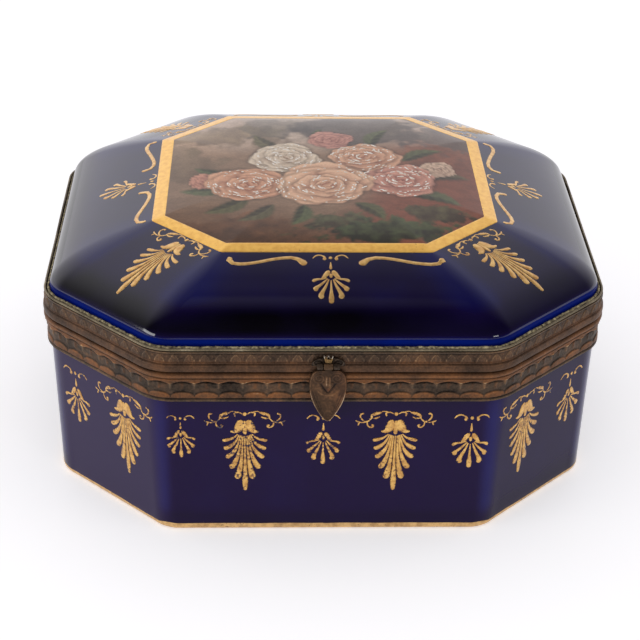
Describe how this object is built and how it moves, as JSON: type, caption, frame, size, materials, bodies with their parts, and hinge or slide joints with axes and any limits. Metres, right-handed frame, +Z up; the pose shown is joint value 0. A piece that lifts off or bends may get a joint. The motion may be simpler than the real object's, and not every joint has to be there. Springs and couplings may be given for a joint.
{
  "type": "porcelain casket",
  "caption": "Eight-sided glazed porcelain casket with a domed hinged lid, stamped brass mounts and a leaf-shaped hasp.",
  "frame": {"origin": "on the table, under the middle of the casket", "axes": "+Z up, +X along the long side, -Y towards the front with the hasp"},
  "size_m": [0.22, 0.1969, 0.1105],
  "materials": {
    "porcelain": "cobalt blue glaze",
    "mount": "stamped, brown patina",
    "bright_mount": "worn to the brass",
    "plaster": "set plaster, stained",
    "pin": "drawn rod"
  },
  "bodies": {
    "base": {"porcelain_body": "porcelain", "base_rim": "mount", "base_gallery_band": "mount", "base_bedding": "plaster", "hinge_knuckle_base_left": "mount", "hinge_knuckle_base_middle": "mount", "hinge_knuckle_base_right": "mount", "hinge_pin": "pin", "catch_stud": "bright_mount"},
    "lid": {"porcelain_lid": "porcelain", "lid_rim": "mount", "lid_leaf_band": "mount", "lid_edge_wire": "bright_mount", "lid_bedding": "plaster", "hinge_knuckle_lid_left": "mount", "hinge_knuckle_lid_right": "mount", "hasp_plate": "mount", "hasp_pin": "pin"},
    "hasp": {"hasp_leaf": "mount"}
  },
  "joints": [
    {"name": "lid_hinge", "type": "hinge", "parent": "base", "child": "lid", "pos_m": [0, 0.09595, 0.0745], "axis": [-1, 0, 0], "range_deg": [0, 104]},
    {"name": "hasp_hinge", "type": "hinge", "parent": "lid", "child": "hasp", "pos_m": [0, -0.0982, 0.0786], "axis": [-1, 0, 0], "range_deg": [0, 162]}
  ]
}
